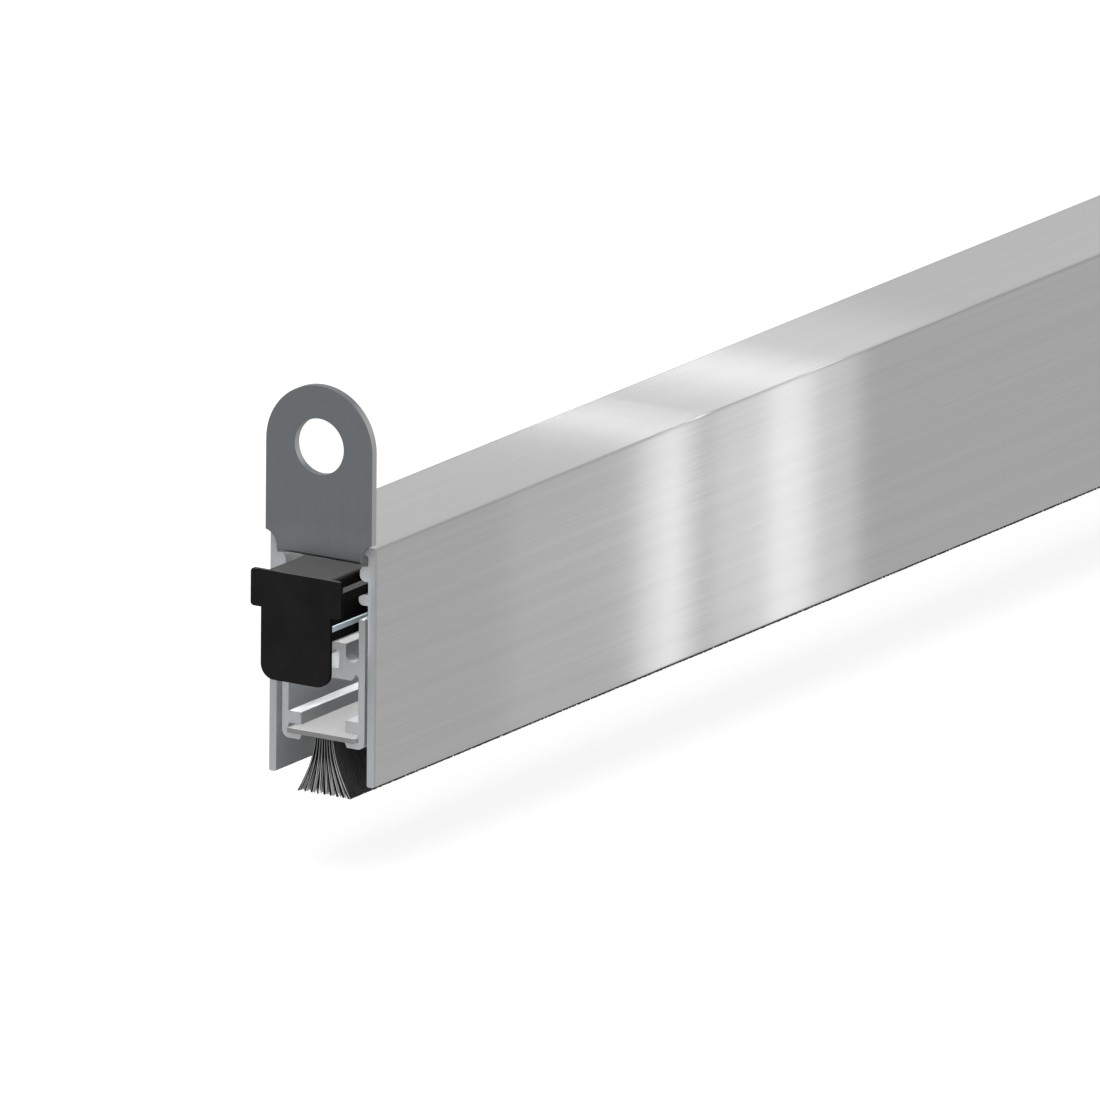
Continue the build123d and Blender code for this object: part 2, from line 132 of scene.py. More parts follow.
# Light on the housing's inner walls, and on its ribs. INSIDE_LAMP_LEVEL and RIB_LAMP_WIDTH are shares of the
# housing's height and width
INSIDE_LIGHT = 0.23
INSIDE_LAMP_LEVEL = 0.4
RIB_LIGHT = 1.2
RIB_LAMP_DEPTH = 1.2 * MM
RIB_LAMP_WIDTH = 0.8

# Light where the plunger shades the pieces behind it: gap to them, distance from the middle, depth, width
# and height, all in mm, and then brightness and the piece
MOUTH_LIGHTS = (
    (1.5, 5.2, -8.5, 1.5, 11.0, 0.9, "housing"),
    (4.0, 3.0, -12.0, 6.0, 8.0, 0.25, "carriage_profile"),
    (4.0, 3.7, -1.0, 7.4, 3.0, 0.1, "plunger_end_bracket"),
)

# The housing's finish: its brushed skin, and the painted shade lines along its edges and ends
SKIN = 0.5 * MM
SKIN_BLEND = 0.1 * MM
END_SHADE_LINE = 0.6 * MM
EDGE_SHADE_STRENGTH = 0.5

# The carriage's U grooves: their floor's and rim's depth, their inner wall, and how dark the painted shade on the
# walls is
GROOVE_FLOOR = 5.5 * MM
GROOVE_RIM = 3.3 * MM
GROOVE_INNER = 3.1 * MM
GROOVE_OUTER_WALL = 0.85 * MM
GROOVE_SHADE_RISE = 1.0 * MM
GROOVE_BLEND = 0.1 * MM
GROOVE_PAINTED_SHADE = 0.52

# Bristles: how the pack flares, how single bristles stray and taper, and where painted shade darkens their roots
ROOT_HALF_WIDTH = 1.35 * MM
FLARE_POWER = 1.7
FILAMENT_RADIUS = 0.13 * MM
LEAN = 0.12 * MM
SWAY = 0.05 * MM
TAPER = 0.3
SHIFT = 0.08 * MM
ROOT_SHADE_FROM = 4.0 * MM
ROOT_SHADE_TO = 1.8 * MM

# The pack's dark core: how far inside it lies, at its flanks, tip and ends
CORE_INSET = 0.35 * MM
CORE_TIP_GAP = 0.3 * MM
CORE_END_GAP = 1.2 * MM
CORE_LEVELS = 12

# Rows across the pack, and how far out the inner ones reach, as a share of its half width
ROWS_ACROSS = 25
INNER_REACH = 0.9

# A fan at each end: black strands, a thin light one beside each as a painted highlight, and grey ones in depth
# behind them
STRAND_RADIUS = 0.22 * MM
HIGHLIGHT_RADIUS = 0.05 * MM
HIGHLIGHT_SHIFT = 0.09
FAN_STRANDS = 9
STRAND_DEPTH = 0.35 * MM
HIGHLIGHT_DEPTH = 0.15 * MM
GREY_DEPTHS = (0.55 * MM, 1.5 * MM)
GREY_PITCH = 0.3 * MM

# The flanks' outer layers, and the tips all over the underside, of which one row in so many is black
FLANK_SHARES = np.array([1.0, 0.94])
FLANK_PITCH = 0.2 * MM
TIP_LENGTH = 1.6 * MM
TIP_INSET = 1.5 * MM
TIP_PITCH = 0.42 * MM
BLACK_EVERY = 3

# Leaf springs: the parts that let a half bend, and the room that a sliding end needs past its travel
BOW_PARTS = 28
SLIDING_ROOM = 0.5 * MM


def add_node(tree, kind, inputs=None, **settings):
    """A new shader node. An input's value may be a number, a tuple or another node's output."""
    node = tree.nodes.new("ShaderNode" + kind)
    for name, value in settings.items():
        setattr(node, name, value)
    for key, value in (inputs or {}).items():
        put(tree, node.inputs[key], value)
    return node


def put(tree, socket, value):
    if isinstance(value, bpy.types.NodeSocket):
        tree.links.new(value, socket)
    else:
        socket.default_value = value


class Finish:
    """A material under construction: its node tree, its principled shader and short ways to add nodes."""

    def __init__(self, name):
        self.material = bpy.data.materials.new(name)
        self.material.use_nodes = True
        self.tree = self.material.node_tree
        self.shader = self.tree.nodes["Principled BSDF"]
        self.place = self.add("TexCoord").outputs["Object"]

    def add(self, kind, inputs=None, **settings):
        return add_node(self.tree, kind, inputs, **settings)

    def set(self, **values):
        """Inputs of the principled shader, with underscores for the spaces in their names."""
        for name, value in values.items():
            put(self.tree, self.shader.inputs[name.replace("_", " ")], value)

    def math(self, operation, a, b=0.0):
        return self.add("Math", {0: a, 1: b}, operation=operation).outputs[0]

    def noise(self, stretch, detail=3.0, roughness=0.55):
        """Noise between 0 and 1, with so many features per metre along X, Y and Z."""
        where = self.add("VectorMath", {0: self.place, 1: stretch}, operation="MULTIPLY").outputs[0]
        inputs = {"Vector": where, "Scale": 1.0, "Detail": detail, "Roughness": roughness}
        return self.add("TexNoise", inputs).outputs["Fac"]

    def remap(self, value, low, high, to_low=0.0, to_high=1.0):
        """value from low..high to to_low..to_high, clamped."""
        inputs = {0: value, 1: low, 2: high, 3: to_low, 4: to_high}
        return self.add("MapRange", inputs).outputs[0]

    def mix(self, amount, colour_a, colour_b):
        inputs = {0: amount, 6: colour_a, 7: colour_b}
        return self.add("Mix", inputs, data_type="RGBA").outputs[2]

    def shade(self, colour, factor):
        """A colour made lighter or darker by a factor that varies over the surface."""
        grey = self.add("CombineXYZ", {0: factor, 1: factor, 2: factor}).outputs[0]
        inputs = {0: 1.0, 6: colour, 7: grey}
        return self.add("Mix", inputs, data_type="RGBA", blend_type="MULTIPLY").outputs[2]

    def bump(self, height, strength, distance):
        inputs = {"Height": height, "Strength": strength, "Distance": distance}
        return self.add("Bump", inputs).outputs[0]

    def height(self):
        return self.add("SeparateXYZ", {0: self.place}).outputs[2]

    def off_middle(self, axis):
        """The distance from the seal's middle along it (0) or across it (1)."""
        return self.math("ABSOLUTE", self.add("SeparateXYZ", {0: self.place}).outputs[axis])

    def normal_part(self, axis):
        """The size of one component of the surface's own normal."""
        normal = self.add("NewGeometry").outputs["Normal"]
        part = self.add("SeparateXYZ", {0: normal}).outputs[axis]
        return self.math("ABSOLUTE", part)

    def cut_end(self):
        """1 on faces that are square to the seal's length, and 0 elsewhere."""
        return self.remap(self.normal_part(0), 0.9, 0.97)

    def across_grain(self):
        """The direction in the surface that is square to the seal's length."""
        normal = self.add("NewGeometry").outputs["Normal"]
        crossed = self.add("VectorMath", {0: normal, 1: (1, 0, 0)}, operation="CROSS_PRODUCT").outputs[0]
        nudged = self.add("VectorMath", {0: crossed, 1: (0, 0, 0.001)}, operation="ADD").outputs[0]
        return self.add("VectorMath", {0: nudged}, operation="NORMALIZE").outputs[0]


def grey(value, blue=0.0):
    """An RGBA grey, a little bluer where blue is above 0."""
    return (value * (1 - blue), value, value * (1 + blue), 1.0)


def brushed_aluminium():
    """Hairlines along the outside of the housing, saw-cut ends, plain insides painted darker as shade, and painted
    shade lines along the outer edges.
    """
    finish = Finish("brushed_aluminium")
    hair = finish.noise((18, 4200, 4200), detail=4, roughness=0.6)
    streak = finish.noise((7, 650, 650), detail=2)
    cloud = finish.noise((9, 30, 30), detail=1)
    shade = finish.math("ADD", finish.remap(hair, 0.25, 0.75, 0.97, 1.03),
                        finish.remap(streak, 0.25, 0.75, -0.03, 0.03))
    shade = finish.math("ADD", shade, finish.remap(cloud, 0.3, 0.7, -0.015, 0.015))
    brushed = finish.shade(grey(0.55), shade)

    cut = finish.cut_end()
    speckle = finish.noise((3500, 3500, 3500), detail=2)
    sawn = finish.shade(grey(0.54, 0.03), finish.remap(speckle, 0.3, 0.7, 0.95, 1.05))

    # The insides are plain extruded metal, painted darker as shade, and the outside has painted shade lines along
    # its edges and round its end
    along, across, height = finish.off_middle(0), finish.off_middle(1), finish.height()
    end, side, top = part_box("housing")[1]
    inside = finish.math("MULTIPLY", finish.remap(across, side - SKIN, side - SKIN + SKIN_BLEND, 1, 0),
                         finish.remap(height, top - SKIN, top - SKIN + SKIN_BLEND, 1, 0))
    # Painted shade: a darker line along the outer edges and round the end
    near_edge = finish.math("MULTIPLY", finish.remap(across, side - SKIN, side - SKIN_BLEND),
                            finish.remap(height, top - SKIN, top - SKIN_BLEND))
    near_end = finish.remap(along, end - END_SHADE_LINE, end - SKIN_BLEND)
    edge_shade = finish.math("MULTIPLY", finish.math("MAXIMUM", near_edge, near_end), EDGE_SHADE_STRENGTH)
    colour = finish.mix(edge_shade, brushed, grey(0.33))
    # Painted shade: the insides take a darker grey than the outside
    colour = finish.mix(inside, colour, finish.shade(grey(0.29, 0.02), shade))
    colour = finish.mix(cut, colour, sawn)

    plain = finish.math("MAXIMUM", cut, inside)
    rough = finish.add("Mix", {0: plain, 2: finish.remap(hair, 0.3, 0.7, 0.18, 0.22), 3: 0.55}).outputs[0]
    finish.set(Base_Color=colour, Metallic=finish.remap(plain, 0, 1, 1.0, 0.3), Anisotropic=1.0,
               Roughness=rough, Tangent=finish.across_grain(),
               Normal=finish.bump(hair, 0.06, 0.02 * MM))
    return finish.material


def mill_aluminium():
    """Plain extruded aluminium: soft die lines along its length, sawn ends, and painted shade on the walls of its
    U grooves.
    """
    finish = Finish("mill_aluminium")
    lines = finish.noise((6, 1500, 1500), detail=3)
    speckle = finish.noise((3000, 3000, 3000), detail=2)
    drawn = finish.shade(grey(0.62, 0.02), finish.remap(lines, 0.3, 0.7, 0.95, 1.05))
    sawn = finish.shade(grey(0.54, 0.03), finish.remap(speckle, 0.3, 0.7, 0.95, 1.05))
    cut = finish.cut_end()

    # The walls of the U grooves are painted darker than their floors, as shade
    across, height = finish.off_middle(1), finish.height()
    side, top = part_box("carriage_profile")[1][1:]
    floor, rim, outer = top - GROOVE_FLOOR, top - GROOVE_RIM, side - GROOVE_OUTER_WALL
    in_groove = finish.math("MULTIPLY", finish.remap(across, GROOVE_INNER - GROOVE_BLEND, GROOVE_INNER),
                            finish.remap(across, outer, outer + GROOVE_BLEND / 2, 1, 0))
    on_wall = finish.math("MULTIPLY", finish.remap(height, floor + GROOVE_BLEND, floor + GROOVE_SHADE_RISE),
                          finish.remap(height, rim - GROOVE_BLEND, rim, 1, 0))
    painted_groove_shade = finish.remap(finish.math("MULTIPLY", in_groove, on_wall), 0, 1, 1, GROOVE_PAINTED_SHADE)
    drawn = finish.shade(drawn, painted_groove_shade)
    finish.set(Base_Color=finish.mix(cut, drawn, sawn), Metallic=finish.remap(cut, 0, 1, 0.8, 0.3),
               Roughness=finish.remap(lines, 0.3, 0.7, 0.34, 0.46),
               Normal=finish.bump(lines, 0.15, 0.02 * MM))
    return finish.material


def steel_sheet():
    """Zinc-plated sheet: satin grey faces, and its sideways-facing edges painted lighter as a highlight."""
    finish = Finish("steel_sheet")
    mottle = finish.noise((900, 900, 900), detail=4)
    rolled = finish.noise((2500, 2500, 120), detail=2)
    face = finish.shade(grey(0.215, 0.05), finish.remap(mottle, 0.3, 0.7, 0.98, 1.02))
    # Painted highlight: the faces that face sideways, the sheet's edges, are lighter
    edge_highlight = finish.remap(finish.normal_part(1), 0.6, 0.9)
    finish.set(Base_Color=finish.mix(edge_highlight, face, grey(0.45)), Metallic=0.9,
               Roughness=finish.remap(rolled, 0.3, 0.7, 0.38, 0.48),
               Normal=finish.bump(rolled, 0.08, 0.02 * MM))
    return finish.material


def spring_steel():
    """Bright hardened strip with a bluish cast and faint rolling lines."""
    finish = Finish("spring_steel")
    lines = finish.noise((10, 2200, 2200), detail=3)
    finish.set(Base_Color=finish.shade((0.50, 0.57, 0.62, 1.0), finish.remap(lines, 0.3, 0.7, 0.95, 1.05)),
               Metallic=0.9, Roughness=finish.remap(lines, 0.3, 0.7, 0.42, 0.52),
               Normal=finish.bump(lines, 0.1, 0.01 * MM))
    return finish.material


def fastener_steel():
    """Turned steel with fine marks."""
    finish = Finish("fastener_steel")
    marks = finish.noise((1800, 1800, 6000), detail=2)
    finish.set(Base_Color=finish.shade(grey(0.42), finish.remap(marks, 0.3, 0.7, 0.92, 1.08)),
               Metallic=1.0, Roughness=finish.remap(marks, 0.3, 0.7, 0.28, 0.4),
               Normal=finish.bump(marks, 0.1, 0.01 * MM))
    return finish.material


def black_plastic():
    """Moulded black plastic with a very fine texture; its flanks are rougher and painted darker as shade."""
    finish = Finish("black_plastic")
    texture = finish.noise((5000, 5000, 5000), detail=3)
    wear = finish.noise((220, 220, 220), detail=2)
    flank = finish.remap(finish.normal_part(1), 0.5, 0.9)
    # Painted shade: the flanks take a darker black than the front and top
    colour = finish.mix(flank, grey(0.014), grey(0.006))
    satin = finish.remap(texture, 0.3, 0.7, 0.36, 0.46)
    finish.set(Base_Color=finish.shade(colour, finish.remap(wear, 0.3, 0.7, 0.85, 1.15)),
               Roughness=finish.add("Mix", {0: flank, 2: satin, 3: 0.95}).outputs[0],
               Specular_IOR_Level=0.02,
               Normal=finish.bump(texture, 0.12, 0.01 * MM))
    return finish.material


def backing_strip():
    """Flat grey strip with a fine even surface, and cut ends painted darker as shade."""
    finish = Finish("backing_strip")
    fine = finish.noise((4000, 4000, 4000), detail=2)
    lines = finish.noise((20, 900, 900), detail=2)
    shade = finish.math("ADD", finish.remap(fine, 0.3, 0.7, 0.96, 1.04),
                        finish.remap(lines, 0.3, 0.7, -0.03, 0.03))
    cut = finish.cut_end()
    # Painted shade: the cut ends are a darker grey than the top
    finish.set(Base_Color=finish.shade(finish.mix(cut, grey(0.45), grey(0.27)), shade),
               Metallic=0.2, Roughness=0.45,
               Normal=finish.bump(fine, 0.08, 0.01 * MM))
    return finish.material


def filament(name, value, spread, root_shade=1.0):
    """Nylon bristles. Each one is a little lighter or darker than the next. The last argument darkens their roots
    as painted shade.
    """
    finish = Finish(name)
    each = finish.noise((2600, 2600, 60), detail=1)
    height, root = finish.height(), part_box("brush_bristles")[1][2]
    # Painted shade: darker towards the roots, by the last argument
    shade = finish.math("MULTIPLY", finish.remap(each, 0.3, 0.7, 1 - spread, 1 + spread),
                        finish.remap(height, root - ROOT_SHADE_FROM, root - ROOT_SHADE_TO, 1, root_shade))
    finish.set(Base_Color=finish.shade(grey(value), shade),
               Roughness=0.5, Specular_IOR_Level=0.1)
    return finish.material


finishes = {
    "brushed_aluminium": brushed_aluminium(),
    "mill_aluminium": mill_aluminium(),
    "steel_sheet": steel_sheet(),
    "spring_steel": spring_steel(),
    "fastener_steel": fastener_steel(),
    "black_plastic": black_plastic(),
    "backing_strip": backing_strip(),
    "bristles": filament("bristles", 0.06, 0.1),
}
black_bristles = filament("black_bristles", 0.008, 0.1)
grey_bristles = filament("grey_bristles", 0.55, 0.25, 0.1)
# Painted highlights: thin light bristles that lie beside the black strands
light_bristles = filament("light_bristles", 0.85, 0.1, 0.5)

for subpart in frame["record"]["subparts"]:
    for holder in nodes[subpart["node"]].material_slots:
        holder.material = finishes[subpart["material_slot"]]


def new_object(name, points, faces, material, smooth=True):
    """A mesh object with one material."""
    mesh = bpy.data.meshes.new(name)
    mesh.from_pydata(points, [], faces)
    mesh.materials.append(material)
    if smooth:
        mesh.shade_smooth()
    mesh.update()
    piece = bpy.data.objects.new(name, mesh)
    bpy.context.scene.collection.objects.link(piece)
    return piece


# Bristles: the pack leaves its root straight down and flares more and more towards its tip
brush_low, brush_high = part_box("brush_bristles")
TIP_HALF_WIDTH = brush_high[1]


def half_width(z):
    """Half the pack's width at a height, or at each of several heights."""
    share = np.clip((brush_high[2] - z) / (brush_high[2] - brush_low[2]), 0, 1)
    return ROOT_HALF_WIDTH + (TIP_HALF_WIDTH - ROOT_HALF_WIDTH) * share ** FLARE_POWER


def filaments(name, xs, shares, material, top, steps, seed, radius=FILAMENT_RADIUS, looseness=1.0,
              tips=(0.0, 0.25)):
    """Three-sided bristles, one for each x and share, where share is -1 to 1 across the pack.

    top is the height at which they start, steps is the number of rings below it, looseness is how much
    they stray, and tips is the least and the most that a tip stops short, in millimetres.
    """
    random = np.random.default_rng(seed)
    count = len(xs)
    rings = steps + 1
    tip = brush_low[2] + random.uniform(tips[0] * MM, tips[1] * MM, count)
    down = np.linspace(0, 1, rings)
    z = top + (tip[:, None] - top) * down[None, :]
    lean = random.normal(0, LEAN, count) * looseness
    sway = random.normal(0, SWAY, count) * looseness
    x = xs[:, None] + lean[:, None] * down[None, :] ** 2
    x = np.clip(x, brush_low[0] + radius, brush_high[0] - radius)
    limit = half_width(z) - radius
    y = shares[:, None] * limit + sway[:, None] * down[None, :] ** 2
    y = np.clip(y, -limit, limit)
    thickness = radius * (1 - TAPER * down)
    turn = random.uniform(0, 2 * math.pi, count)
    angle = turn[:, None] + np.arange(3)[None, :] * 2 * math.pi / 3
    points = np.empty((count, rings, 3, 3))
    points[..., 0] = x[:, :, None] + thickness[None, :, None] * np.cos(angle)[:, None, :]
    points[..., 1] = y[:, :, None] + thickness[None, :, None] * np.sin(angle)[:, None, :]
    points[..., 2] = z[:, :, None]

    # One bristle's faces: the sides, ring by ring, and a cap at each end
    sides = [(r * 3 + k, r * 3 + 3 + k, r * 3 + 3 + (k + 1) % 3, r * 3 + (k + 1) % 3)
             for r in range(steps) for k in range(3)]
    sides = np.array(sides)
    caps = np.array([(0, 1, 2), (steps * 3 + 2, steps * 3 + 1, steps * 3)])
    start = (np.arange(count) * rings * 3)[:, None, None]
    faces = (sides[None] + start).reshape(-1, 4).tolist() + (caps[None] + start).reshape(-1, 3).tolist()
    return new_object(name, points.reshape(-1, 3), faces, material)


def columns(first, last, pitch):
    """Evenly spaced places along the seal."""
    return np.linspace(first, last, max(2, int(round((last - first) / pitch)) + 1))


def spread_out(xs, shares, seed):
    """Every x with every share, each x moved a little."""
    random = np.random.default_rng(seed)
    grid_x, grid_share = np.meshgrid(xs, shares, indexing="ij")
    grid_x = grid_x + random.uniform(-SHIFT, SHIFT, grid_x.shape)
    return grid_x.ravel(), grid_share.ravel()


def brush_core():
    """The dense inside of the brush, which no light comes through."""
    levels = np.linspace(brush_high[2], brush_low[2] + CORE_TIP_GAP, CORE_LEVELS)
    widths = half_width(levels) - CORE_INSET
    ends = (brush_low[0] + CORE_END_GAP, brush_high[0] - CORE_END_GAP)
    outline = [(width, z) for width, z in zip(widths, levels)]
    outline += [(-width, z) for width, z in reversed(outline)]
    points = [(x, y, z) for x in ends for y, z in outline]
    size = len(outline)
    faces = [tuple(range(size)), tuple(range(2 * size - 1, size - 1, -1))]
    faces += [(k, k + size, (k + 1) % size + size, (k + 1) % size) for k in range(size)]
    core = new_object("brush_core", points, faces, finishes["bristles"], smooth=False)
    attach(core, "carriage")
    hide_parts("brush_bristles")


def make_fan(name, end, inward):
    """One end of the brush: black strands with a thin light one beside each as a painted highlight, and grey
    bristles behind them.
    """
    root = brush_high[2]
    strands = np.linspace(-1, 1, FAN_STRANDS)
    front = np.full(FAN_STRANDS, end + inward * STRAND_DEPTH)
    edge_highlight = np.full(FAN_STRANDS, end + inward * HIGHLIGHT_DEPTH)
    places = end + inward * columns(*GREY_DEPTHS, GREY_PITCH)
    xs, rows = spread_out(places, np.linspace(-INNER_REACH, INNER_REACH, ROWS_ACROSS), seed=31)
    return [
        filaments(f"brush_{name}_strands", front, strands, black_bristles, root, steps=10, seed=41,
                  radius=STRAND_RADIUS, looseness=0.3, tips=(0.0, 0.05)),
        filaments(f"brush_{name}_highlights", edge_highlight, strands - HIGHLIGHT_SHIFT, light_bristles, root,
                  steps=10, seed=43, radius=HIGHLIGHT_RADIUS, looseness=0.2, tips=(0.0, 0.08)),
        filaments(f"brush_{name}_greys", xs, rows, grey_bristles, root, steps=8, seed=42, tips=(0.0, 0.12)),
    ]


def make_brush():
    """Smooth outer layers down both flanks, a fan at each end, and tips all over the underside."""
    root = brush_high[2]
    first, last = brush_low[0] + FILAMENT_RADIUS, brush_high[0] - FILAMENT_RADIUS
    made = make_fan("front", brush_low[0], 1) + make_fan("rear", brush_high[0], -1)
    for side, name in ((-1, "right"), (1, "left")):
        xs, outer = spread_out(columns(first + FLANK_PITCH, last - FLANK_PITCH, FLANK_PITCH),
                               side * FLANK_SHARES, seed=11 + side)
        made.append(filaments(f"brush_flank_{name}", xs, outer, finishes["bristles"], root, steps=7,
                              seed=21 + side, looseness=0.15, tips=(0.0, 0.04)))

    tip_top = brush_low[2] + TIP_LENGTH
    places = columns(first + TIP_INSET, last - TIP_INSET, TIP_PITCH)
    shares = np.linspace(-1, 1, ROWS_ACROSS)
    is_black = np.arange(ROWS_ACROSS) % BLACK_EVERY == 0
    for black, colour in ((True, "black"), (False, "grey")):
        material = finishes["bristles"] if black else grey_bristles
        inner = shares[(is_black == black) & (np.abs(shares) < INNER_REACH)]
        xs, inner = spread_out(places, inner, seed=51 + black)
        made.append(filaments(f"brush_tips_{colour}", xs, inner, material, tip_top, steps=1,
                              seed=61 + black))

    for piece in made:
        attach(piece, "carriage")


brush_core()
make_brush()


# Leaf springs: each is cut from its flat strip, and its two halves, from the housing to a saddle, are cut into
# parts
def cut_strip(name, node, start_x, end_x, parts=1):
    """A length of a CAD strip, closed at its cut ends and cut across into parts, so that it can bend."""
    mesh = bmesh.new()
    mesh.from_mesh(nodes[node].data)
    bmesh.ops.remove_doubles(mesh, verts=mesh.verts, dist=1e-6)
    for x, side in ((start_x, 1), (end_x, -1)):
        everything = mesh.verts[:] + mesh.edges[:] + mesh.faces[:]
        cut = bmesh.ops.bisect_plane(mesh, geom=everything, plane_co=(x, 0, 0), plane_no=(side, 0, 0),
                                     clear_inner=True)
        rim = [item for item in cut["geom_cut"] if isinstance(item, bmesh.types.BMEdge)]
        if rim:
            bmesh.ops.contextual_create(mesh, geom=rim)
    for part in range(1, parts):
        x = start_x + (end_x - start_x) * part / parts
        everything = mesh.verts[:] + mesh.edges[:] + mesh.faces[:]
        bmesh.ops.bisect_plane(mesh, geom=everything, plane_co=(x, 0, 0), plane_no=(1, 0, 0))
    bmesh.ops.recalc_face_normals(mesh, faces=mesh.faces[:])
    data = bpy.data.meshes.new(name)
    mesh.to_mesh(data)
    mesh.free()
    data.materials.clear()
    data.materials.append(finishes["spring_steel"])
    piece = bpy.data.objects.new(name, data)
    bpy.context.scene.collection.objects.link(piece)
    return piece


def travel(name):
    """How far a joint slides."""
    return next(joint["range_m"][1] for joint in frame["joints"] if joint["name"] == name)


def make_spring(node, front_block, front_body, saddle, rear_block, rear_body, rear_room):
    """One leaf spring: an end in each block, and two halves that meet at the saddle."""
    bow_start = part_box(front_block)[1][0]
    bow_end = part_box(rear_block)[0][0]
    middle = (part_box(saddle)[0][0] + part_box(saddle)[1][0]) / 2
    strip_low, strip_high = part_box(node)
    front_end = cut_strip(node + "_front_end", node, strip_low[0], bow_start)
    rear_end = cut_strip(node + "_rear_end", node, bow_end + rear_room, strip_high[0])
    front_half = cut_strip(node + "_front_half", node, bow_start, middle, BOW_PARTS)
    rear_half = cut_strip(node + "_rear_half", node, middle, bow_end + rear_room, BOW_PARTS)
    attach(front_end, front_body)
    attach(rear_end, rear_body)
    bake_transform(front_half)
    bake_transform(rear_half)
    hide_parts(node)


make_spring("front_leaf_spring", "front_guide_block", "plunger", "front_saddle",
            "middle_front_block", "middle_slider", travel("middle_slide") + SLIDING_ROOM)
make_spring("rear_leaf_spring", "middle_rear_block", "middle_slider", "rear_saddle",
            "anchor_block", "housing", 0.0)


def make_floor():
    """A pale floor: white to the camera apart from a soft shadow, and open from below."""
    z = brush_low[2] - travel("carriage_drop") - FLOOR_GAP
    half = FLOOR_SIZE / 2
    corners = [(-half, -half, z), (half, -half, z), (half, half, z), (-half, half, z)]
    finish = Finish("pale_floor")
    tree = finish.tree
    tree.nodes.remove(finish.shader)
    is_camera = finish.add("LightPath").outputs["Is Camera Ray"]
    matt = finish.add("BsdfDiffuse", {"Color": grey(FLOOR_COLOUR)})
    shadow = finish.add("BsdfDiffuse", {"Color": grey(FLOOR_SHADOW)})
    glow = finish.add("Emission", {"Color": grey(1.0), "Strength": FLOOR_GLOW})
    shown = finish.add("AddShader", {0: shadow.outputs[0], 1: glow.outputs[0]})
    seen = finish.add("MixShader", {0: is_camera, 1: matt.outputs[0], 2: shown.outputs[0]})
    clear = finish.add("BsdfTransparent")
    below = finish.add("NewGeometry").outputs["Backfacing"]
    whole = finish.add("MixShader", {0: below, 1: seen.outputs[0], 2: clear.outputs[0]})
    output = next(node for node in tree.nodes if node.type == "OUTPUT_MATERIAL")
    tree.links.new(whole.outputs[0], output.inputs[0])
    floor = new_object("floor", corners, [(0, 1, 2, 3)], finish.material, smooth=False)
    floor.visible_glossy = False


def make_world():
    """White behind the object. Metal shows that white too, greyer towards the ground."""
    world = bpy.data.worlds.new("studio")
    world.use_nodes = True
    tree = world.node_tree
    bpy.context.scene.world = world

    path = add_node(tree, "LightPath").outputs
    place = add_node(tree, "TexCoord").outputs["Generated"]
    height = add_node(tree, "SeparateXYZ", {0: place}).outputs[2]
    low, high = SHOWN_BETWEEN
    shown = add_node(tree, "MapRange", {0: height, 1: low, 2: high, 3: SHOWN_BELOW, 4: SHOWN_ABOVE},
                     interpolation_type="SMOOTHSTEP").outputs[0]
    mirrored = add_node(tree, "Math", {0: path["Is Glossy Ray"], 1: path["Is Transmission Ray"]},
                        operation="MAXIMUM").outputs[0]
    strength = add_node(tree, "Mix", {0: mirrored, 2: SOFT_LIGHT, 3: shown}).outputs[0]
    strength = add_node(tree, "Mix", {0: path["Is Camera Ray"], 2: strength, 3: 1.0}).outputs[0]
    background = tree.nodes["Background"]
    put(tree, background.inputs["Color"], grey(1.0))
    put(tree, background.inputs["Strength"], strength)


def lamp(name, place, toward, width, length, radiance, only=None, shadow=True):
    """A rectangular lamp that gives light but isn't seen. only names the pieces that it lights."""
    data = bpy.data.lights.new(name, "AREA")
    data.shape = "RECTANGLE"
    data.size = width
    data.size_y = length
    data.energy = LAMP_POWER * width * length * radiance
    data.use_shadow = shadow
    data.cycles.use_multiple_importance_sampling = shadow
    light = bpy.data.objects.new(name, data)
    light.location = place
    light.rotation_euler = Vector(toward).to_track_quat("-Z", "Y").to_euler()
    light.visible_camera = False
    bpy.context.scene.collection.objects.link(light)
    if only:
        lit = bpy.data.collections.new("lit_by_" + name)
        for piece in only:
            lit.objects.link(piece)
        light.light_linking.receiver_collection = lit


def make_bands():
    """Narrow bars close to the housing, which draw bands across its brushed faces."""
    housing = [nodes["housing"]]
    low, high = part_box("housing")
    depth = high[2] - low[2]
    for count, (along, width, radiance) in enumerate(SIDE_BANDS, start=1):
        x = low[0] + along * MM + SIDE_LAMP_AHEAD
        z = high[2] - SIDE_LAMP_DEPTH * depth
        for side, name in ((-1, "right"), (1, "left")):
            place = (x, side * (high[1] + SIDE_LAMP_GAP + count * LAMP_STEP), z)
            lamp(f"band_{name}_{count}", place, (0, -side, 0), width * MM, SIDE_LAMP_HEIGHT * depth,
                 radiance, housing)
    for count, (along, width, radiance) in enumerate(TOP_BANDS, start=1):
        place = (low[0] + along * MM + TOP_LAMP_AHEAD, 0, high[2] + TOP_LAMP_GAP + count * LAMP_STEP)
        lamp(f"band_top_{count}", place, (0, 0, -1), width * MM, TOP_LAMP_LENGTH, radiance, housing)


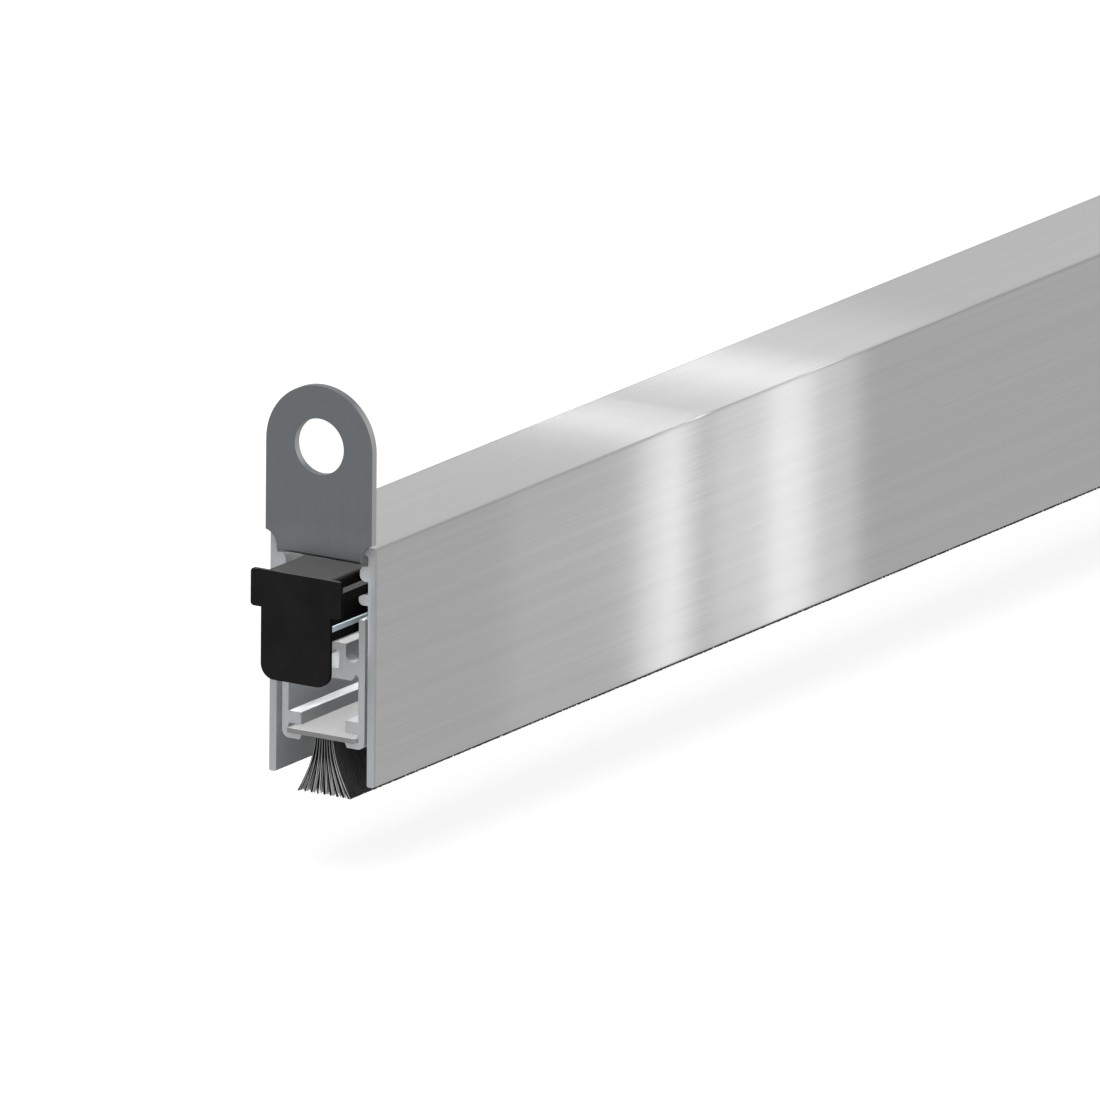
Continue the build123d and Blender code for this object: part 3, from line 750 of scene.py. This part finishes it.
def make_fills():
    """Light inside the channel: what its own bright walls would throw back, on single pieces only."""
    for name, way, size, radiance, pieces in FILLS:
        way = Vector(way).normalized()
        lamp(name, FILL_TARGET + way, -way, size, size, radiance, [nodes[piece] for piece in pieces],
             shadow=False)
    low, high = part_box("housing")
    length, depth = high[0] - low[0], high[2] - low[2]
    for side, name in ((-1, "right"), (1, "left")):
        lamp(f"inside_{name}", (0, 0, low[2] + INSIDE_LAMP_LEVEL * depth), (0, side, 0), length, depth,
             INSIDE_LIGHT, [nodes["housing"]], shadow=False)
        for gap, away, level, width, height, radiance, piece in MOUTH_LIGHTS:
            place = (low[0] - gap * MM, side * away * MM, level * MM)
            lamp(f"mouth_{piece}_{name}", place, (1, 0, 0), width * MM, height * MM, radiance,
                 [nodes[piece]], shadow=False)
    lamp("rib_light", (0, 0, high[2] - RIB_LAMP_DEPTH), (0, 0, -1), length,
         RIB_LAMP_WIDTH * (high[1] - low[1]), RIB_LIGHT, [nodes["housing"]], shadow=False)


def make_lamps():
    """One large soft lamp, the bars for the bands, and the light inside the channel."""
    lamp("top_light", TOP_LIGHT_PLACE, TOP_LIGHT_WAY, TOP_LIGHT_SIZE, TOP_LIGHT_SIZE, TOP_LIGHT)
    make_bands()
    make_fills()


def make_camera():
    """The photo's viewing angle."""
    back = Vector((math.sin(VIEW_AZIMUTH) * math.cos(VIEW_ELEVATION),
                   -math.cos(VIEW_AZIMUTH) * math.cos(VIEW_ELEVATION),
                   math.sin(VIEW_ELEVATION)))
    data = bpy.data.cameras.new("photo_view")
    data.sensor_width = SENSOR_WIDTH
    data.lens = SENSOR_WIDTH / 2 / math.tan(VIEW_HALF_ANGLE)
    data.clip_start = NEAREST_SEEN
    data.clip_end = FARTHEST_SEEN
    camera = bpy.data.objects.new("photo_view", data)
    camera.location = VIEW_TARGET + back * VIEW_HALF_WIDTH / math.tan(VIEW_HALF_ANGLE)
    camera.rotation_euler = (back.to_track_quat("Z", "Y") @ Quaternion((0, 0, 1), VIEW_ROLL)).to_euler()
    bpy.context.scene.collection.objects.link(camera)
    bpy.context.scene.camera = camera


make_floor()
make_world()
make_lamps()
make_camera()
bpy.context.scene.view_settings.view_transform = "Standard"
